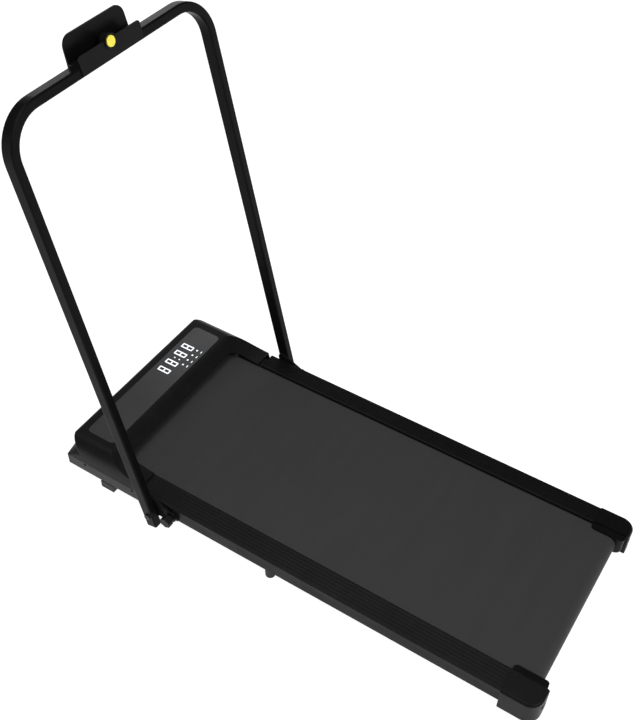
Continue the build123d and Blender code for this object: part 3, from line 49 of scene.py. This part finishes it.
# name, place, target, size, watts
LIGHTS = (
    ("left_light", (-3.2, 0.9, 2.2), (0, 0.1, 0.2), (2.2, 2.0), 16),
    ("rear_light", (-0.8, -3.0, 3.6), (0, 0.1, 0), (3.0, 2.4), 95),
    ("top_light", (-0.6, 0.8, 4.4), (0, 0.1, 0), (2.6, 2.6), 80),
    ("far_light", (2.5, 3.5, 1.76), (0, 0.5, 0.98), (1.3, 1.0), 8),
    ("panel_light", (2.7, 2.15, 2.75), (0.12, 0.53, 0.11), (1.4, 1.4), 5),
)


def add_camera():
    data = bpy.data.cameras.new("camera")
    data.lens = LENS
    data.sensor_width = SENSOR
    data.sensor_fit = "AUTO"
    data.clip_end = VIEW_REACH
    camera = bpy.data.objects.new("camera", data)
    bpy.context.scene.collection.objects.link(camera)
    sin_a, cos_a = math.sin(CAMERA_AZIMUTH), math.cos(CAMERA_AZIMUTH)
    sin_e, cos_e = math.sin(CAMERA_ELEVATION), math.cos(CAMERA_ELEVATION)
    back = Vector((sin_a * cos_e, -cos_a * cos_e, sin_e))
    right = (-back).cross(Vector((0, 0, 1))).normalized()
    up = right.cross(-back)
    sin_r, cos_r = math.sin(CAMERA_ROLL), math.cos(CAMERA_ROLL)
    rolled_right = cos_r * right + sin_r * up
    rolled_up = -sin_r * right + cos_r * up
    turn = Matrix((rolled_right, rolled_up, back)).transposed().to_4x4()
    camera.matrix_world = Matrix.Translation(CAMERA_PLACE) @ turn
    bpy.context.scene.camera = camera


def add_area_light(name, place, target, size, energy):
    data = bpy.data.lights.new(name, "AREA")
    data.shape = "RECTANGLE"
    data.size, data.size_y = size
    data.energy = energy
    light = bpy.data.objects.new(name, data)
    bpy.context.scene.collection.objects.link(light)
    direction = Vector(target) - Vector(place)
    light.matrix_world = Matrix.Translation(place) @ direction.to_track_quat("-Z", "Y").to_matrix().to_4x4()


def add_room(tree):
    """World light: white walls below WALL_TOP, and the dim ceiling above CEILING."""
    direction = tree.nodes.new("ShaderNodeTexCoord").outputs["Generated"]
    parts = tree.nodes.new("ShaderNodeSeparateXYZ")
    tree.links.new(direction, parts.inputs["Vector"])
    fade = tree.nodes.new("ShaderNodeMapRange")
    for key, number in (("From Min", WALL_TOP), ("From Max", CEILING), ("To Min", 1.0), ("To Max", DIM)):
        fade.inputs[key].default_value = number
    tree.links.new(parts.outputs["Z"], fade.inputs["Value"])
    background = tree.nodes["Background"]
    background.inputs["Color"].default_value = (1.0, 1.0, 1.0, 1)
    tree.links.new(fade.outputs["Result"], background.inputs["Strength"])


def add_studio():
    """A dim room over a white floor: soft lights overhead and behind, weak ones at the sides."""
    scene = bpy.context.scene
    scene.view_settings.view_transform = "Standard"
    scene.world = bpy.data.worlds.new("studio")
    scene.world.use_nodes = True
    add_room(scene.world.node_tree)
    for light in LIGHTS:
        add_area_light(*light)
    mesh = bpy.data.meshes.new("floor")
    reach = FLOOR_REACH
    corners = [(-reach, -reach, 0), (reach, -reach, 0), (reach, reach, 0), (-reach, reach, 0)]
    mesh.from_pydata(corners, [], [(0, 1, 2, 3)])
    floor = bpy.data.objects.new("floor", mesh)
    scene.collection.objects.link(floor)
    material, shader = new_material("floor_paint")
    shader.inputs["Base Color"].default_value = (FLOOR_TONE, FLOOR_TONE, FLOOR_TONE, 1)
    shader.inputs["Roughness"].default_value = 0.9
    shader.inputs["Emission Color"].default_value = (1, 1, 1, 1)
    shader.inputs["Emission Strength"].default_value = FLOOR_GLOW
    mesh.materials.append(material)


# ---------------------------------------------------------------- material helpers
def new_material(name):
    """A material and its Principled shader."""
    material = bpy.data.materials.new(name)
    material.use_nodes = True
    return material, material.node_tree.nodes["Principled BSDF"]


class Surface:
    """A Principled material whose colour, roughness and bump come from noise in the row frame."""

    def __init__(self, name, metallic=0.0, specular=0.5):
        self.material, self.shader = new_material(name)
        self.nodes = self.material.node_tree.nodes
        self.links = self.material.node_tree.links
        self.shader.inputs["Metallic"].default_value = metallic
        self.shader.inputs["Specular IOR Level"].default_value = specular
        self.coordinates = self.nodes.new("ShaderNodeTexCoord").outputs["Object"]
        self.normal = None

    def stretched(self, scale):
        mapping = self.nodes.new("ShaderNodeMapping")
        mapping.inputs["Scale"].default_value = scale
        self.links.new(self.coordinates, mapping.inputs["Vector"])
        return mapping.outputs["Vector"]

    def noise(self, scale, detail=3.0, rough=0.5, stretch=(1, 1, 1)):
        node = self.nodes.new("ShaderNodeTexNoise")
        node.inputs["Scale"].default_value = scale
        node.inputs["Detail"].default_value = detail
        node.inputs["Roughness"].default_value = rough
        self.links.new(self.stretched(stretch), node.inputs["Vector"])
        return node.outputs["Fac"]

    def cells(self, scale, stretch=(1, 1, 1)):
        node = self.nodes.new("ShaderNodeTexVoronoi")
        node.inputs["Scale"].default_value = scale
        self.links.new(self.stretched(stretch), node.inputs["Vector"])
        return node.outputs["Distance"]

    def bands(self, period, direction):
        """Smooth ridges across an axis, one every period metres."""
        node = self.nodes.new("ShaderNodeTexWave")
        node.bands_direction = direction
        node.wave_profile = "SIN"
        node.inputs["Scale"].default_value = 0.314 / period
        self.links.new(self.coordinates, node.inputs["Vector"])
        return node.outputs["Fac"]

    def combine(self, kind, a, b):
        node = self.nodes.new("ShaderNodeMath")
        node.operation = kind
        for socket, value in zip(node.inputs, (a, b)):
            if isinstance(value, (int, float)):
                socket.default_value = value
            else:
                self.links.new(value, socket)
        return node.outputs["Value"]

    def spread(self, value, low, high, start=0.3, stop=0.7):
        """Maps the part of a noise value between start and stop to low...high."""
        node = self.nodes.new("ShaderNodeMapRange")
        for key, number in (("From Min", start), ("From Max", stop), ("To Min", low), ("To Max", high)):
            node.inputs[key].default_value = number
        self.links.new(value, node.inputs["Value"])
        return node.outputs["Result"]

    def colour(self, value, dark, light, start=0.3, stop=0.7):
        ramp = self.nodes.new("ShaderNodeValToRGB")
        ramp.color_ramp.elements[0].position = start
        ramp.color_ramp.elements[1].position = stop
        ramp.color_ramp.elements[0].color = (*dark, 1)
        ramp.color_ramp.elements[1].color = (*light, 1)
        self.links.new(value, ramp.inputs["Fac"])
        self.links.new(ramp.outputs["Color"], self.shader.inputs["Base Color"])

    def roughness(self, value):
        self.links.new(value, self.shader.inputs["Roughness"])

    def bump(self, height, depth, strength=1.0):
        """Adds relief of the given depth in metres over what is there already."""
        node = self.nodes.new("ShaderNodeBump")
        node.inputs["Strength"].default_value = strength
        node.inputs["Distance"].default_value = depth
        self.links.new(height, node.inputs["Height"])
        if self.normal:
            self.links.new(self.normal, node.inputs["Normal"])
        self.normal = node.outputs["Normal"]
        self.links.new(self.normal, self.shader.inputs["Normal"])


def moulded_plastic(name, tone, rough, grain=0.00002, grain_scale=900.0, specular=0.15):
    """Moulded plastic: fine spark texture, faint flow marks and handled, dusty patches."""
    s = Surface(name, specular=specular)
    dark = [c * 0.85 for c in tone]
    light = [c * 1.2 for c in tone]
    s.colour(s.noise(22, 5, 0.6), dark, light)
    s.roughness(s.spread(s.noise(14, 6, 0.65), rough - 0.05, rough + 0.07))
    s.bump(s.noise(9, 2), 0.0004, 0.25)
    s.bump(s.noise(grain_scale, 2, 0.6), grain, 0.8)
    return s.material


def powder_coat(name, tone, rough, specular=0.12):
    """Powder-coated steel: orange-peel relief under a satin skin."""
    s = Surface(name, specular=specular)
    s.colour(s.noise(30, 4, 0.6), [c * 0.85 for c in tone], [c * 1.18 for c in tone])
    s.roughness(s.spread(s.noise(18, 6, 0.6), rough - 0.05, rough + 0.08))
    s.bump(s.noise(420, 2, 0.4), 0.00004, 0.6)
    s.bump(s.noise(1500, 1), 0.00001, 0.5)
    return s.material


def metal(name, tone, rough, stretch=(1, 1, 1), metallic=1.0):
    """Worked metal with fine tool marks along one direction."""
    s = Surface(name, metallic=metallic)
    s.colour(s.noise(60, 5, 0.7, stretch), [c * 0.8 for c in tone], tone)
    s.roughness(s.spread(s.noise(120, 6, 0.7, stretch), rough - 0.08, rough + 0.12))
    s.bump(s.noise(500, 4, 0.7, stretch), 0.00002, 0.6)
    return s.material


def belt_rubber():
    """Running belt: a fine embossed weave, faint cross bands and a trace of scuffing."""
    s = Surface("belt_rubber", specular=0.3)
    s.colour(s.noise(26, 4, 0.6, (0.12, 1, 1)), (0.0335, 0.0335, 0.034), (0.0365, 0.0365, 0.037))
    s.roughness(s.spread(s.noise(10, 6, 0.7, (0.5, 1, 1)), 0.56, 0.72))
    weave = s.combine("MULTIPLY", s.bands(0.0022, "X"), s.bands(0.0022, "Y"))
    s.bump(weave, 0.00012, 0.7)
    s.bump(s.noise(700, 2, 0.6), 0.00004, 0.5)
    return s.material


def rubber(name, tone, rough):
    """Moulded rubber with a coarse matt skin."""
    s = Surface(name, specular=0.35)
    s.colour(s.noise(80, 4, 0.6), [c * 0.8 for c in tone], [c * 1.25 for c in tone])
    s.roughness(s.spread(s.noise(60, 4, 0.6), rough - 0.06, rough + 0.08))
    s.bump(s.noise(600, 3, 0.6), 0.00006, 0.7)
    return s.material


def fibreboard():
    """Fibreboard with a black phenolic film on its running face."""
    s = Surface("deck_wood", specular=0.3)
    geometry = s.nodes.new("ShaderNodeNewGeometry")
    parts = s.nodes.new("ShaderNodeSeparateXYZ")
    s.links.new(geometry.outputs["Normal"], parts.inputs["Vector"])
    bare = s.spread(parts.outputs["Z"], 1.0, 0.0, 0.4, 0.6)
    fibres = s.combine("MULTIPLY", s.spread(s.noise(220, 8, 0.75), 0.55, 1.0), bare)
    s.colour(fibres, (0.006, 0.006, 0.006), (0.38, 0.27, 0.16), 0.0, 1.0)
    s.roughness(s.spread(s.noise(90, 5, 0.6), 0.6, 0.8))
    s.bump(s.noise(900, 4, 0.7), 0.00008, 0.6)
    return s.material


def smoked_lens():
    """Glossy smoked acrylic: almost mirror smooth, with wipe marks in its gloss."""
    s = Surface("lens_plastic", specular=0.4)
    s.colour(s.noise(6, 2), (0.048, 0.048, 0.050), (0.056, 0.056, 0.058))
    s.roughness(s.spread(s.noise(35, 5, 0.7, (1, 0.25, 1)), 0.16, 0.26))
    s.bump(s.noise(7, 1), 0.0003, 0.15)
    return s.material


def lit_segments():
    """Bright display segments with their own faint glow."""
    s = Surface("display_white")
    s.colour(s.noise(300, 2), (0.80, 0.83, 0.86), (0.92, 0.94, 0.96))
    s.roughness(s.spread(s.noise(200, 2), 0.35, 0.5))
    s.shader.inputs["Emission Color"].default_value = (0.9, 0.95, 1.0, 1)
    s.shader.inputs["Emission Strength"].default_value = 0.6
    return s.material


def glossy_plastic(name, tone, rough):
    """Polished plastic with slight sink marks and smears in its gloss."""
    s = Surface(name)
    s.colour(s.noise(90, 3), [c * 0.9 for c in tone], [min(1.0, c * 1.06) for c in tone])
    s.roughness(s.spread(s.noise(50, 5, 0.6), rough - 0.04, rough + 0.08))
    s.bump(s.noise(60, 2), 0.00008, 0.2)
    return s.material


def circuit_board():
    """Green solder mask over a raised pattern of tracks."""
    s = Surface("circuit_board")
    tracks = s.combine("MULTIPLY", s.bands(0.004, "X"), s.cells(240))
    s.colour(tracks, (0.012, 0.10, 0.035), (0.05, 0.24, 0.10), 0.2, 0.5)
    s.roughness(s.spread(s.noise(150, 3), 0.35, 0.5))
    s.bump(tracks, 0.0001, 0.4)
    return s.material


def build_materials():
    """One material for each material slot of the record."""
    black = (0.0065, 0.0065, 0.0068)
    steel = (0.50, 0.50, 0.51)
    return {
        "frame_steel": powder_coat("frame_steel", (0.006, 0.006, 0.0063), 0.42, specular=0.09),
        "handlebar_paint": powder_coat("handlebar_paint", (0.0045, 0.0045, 0.0047), 0.30, specular=0.05),
        "deck_wood": fibreboard(),
        "foot_rubber": rubber("foot_rubber", (0.018, 0.018, 0.018), 0.7),
        "screw_steel": metal("screw_steel", (0.42, 0.42, 0.44), 0.35),
        "dark_screws": metal("dark_screws", (0.03, 0.03, 0.032), 0.34, metallic=0.6),
        "belt_rubber": belt_rubber(),
        "rail_plastic": moulded_plastic("rail_plastic", (0.004, 0.004, 0.0042), 0.5),
        "cap_plastic": moulded_plastic("cap_plastic", (0.0042, 0.0042, 0.0044), 0.36, specular=0.1),
        "roller_steel": metal("roller_steel", steel, 0.3, (0.05, 1, 1)),
        "axle_steel": metal("axle_steel", (0.45, 0.45, 0.46), 0.3, (0.05, 1, 1)),
        "bearing_steel": metal("bearing_steel", (0.6, 0.6, 0.62), 0.2),
        "block_plastic": moulded_plastic("block_plastic", (0.04, 0.04, 0.042), 0.5),
        "pulley_plastic": moulded_plastic("pulley_plastic", (0.05, 0.05, 0.052), 0.45),
        "pulley_aluminium": metal("pulley_aluminium", (0.68, 0.68, 0.70), 0.3, (1, 0.05, 0.05)),
        "drive_belt_rubber": rubber("drive_belt_rubber", (0.02, 0.02, 0.02), 0.6),
        "motor_paint": powder_coat("motor_paint", (0.05, 0.05, 0.055), 0.4),
        "circuit_board": circuit_board(),
        "heat_sink_aluminium": metal("heat_sink_aluminium", (0.6, 0.6, 0.62), 0.35, (1, 0.05, 1)),
        "wire_insulation": moulded_plastic("wire_insulation", (0.45, 0.03, 0.03), 0.45),
        "hood_plastic": moulded_plastic("hood_plastic", black, 0.36),
        "lens_plastic": smoked_lens(),
        "display_white": lit_segments(),
        "inlet_plastic": moulded_plastic("inlet_plastic", (0.016, 0.016, 0.016), 0.5),
        "rocker_plastic": glossy_plastic("rocker_plastic", (0.22, 0.008, 0.008), 0.25),
        "wheel_plastic": moulded_plastic("wheel_plastic", (0.016, 0.016, 0.016), 0.45),
        "knob_plastic": moulded_plastic("knob_plastic", (0.004, 0.004, 0.004), 0.5, specular=0.2),
        "holder_plastic": moulded_plastic("holder_plastic", (0.0045, 0.0045, 0.0047), 0.36, specular=0.1),
        "bezel_plastic": moulded_plastic("bezel_plastic", (0.002, 0.002, 0.002), 0.4),
        "button_yellow": glossy_plastic("button_yellow", (0.98, 0.84, 0.07), 0.3),
    }


def dress(materials):
    """Gives every CAD node the material of its slot in the record."""
    for entry in frame["record"]["subparts"]:
        piece = frame["nodes"][entry["node"]]
        for place in piece.material_slots:
            place.material = materials[entry["material_slot"]]


add_camera()
add_studio()
materials = build_materials()
dress(materials)
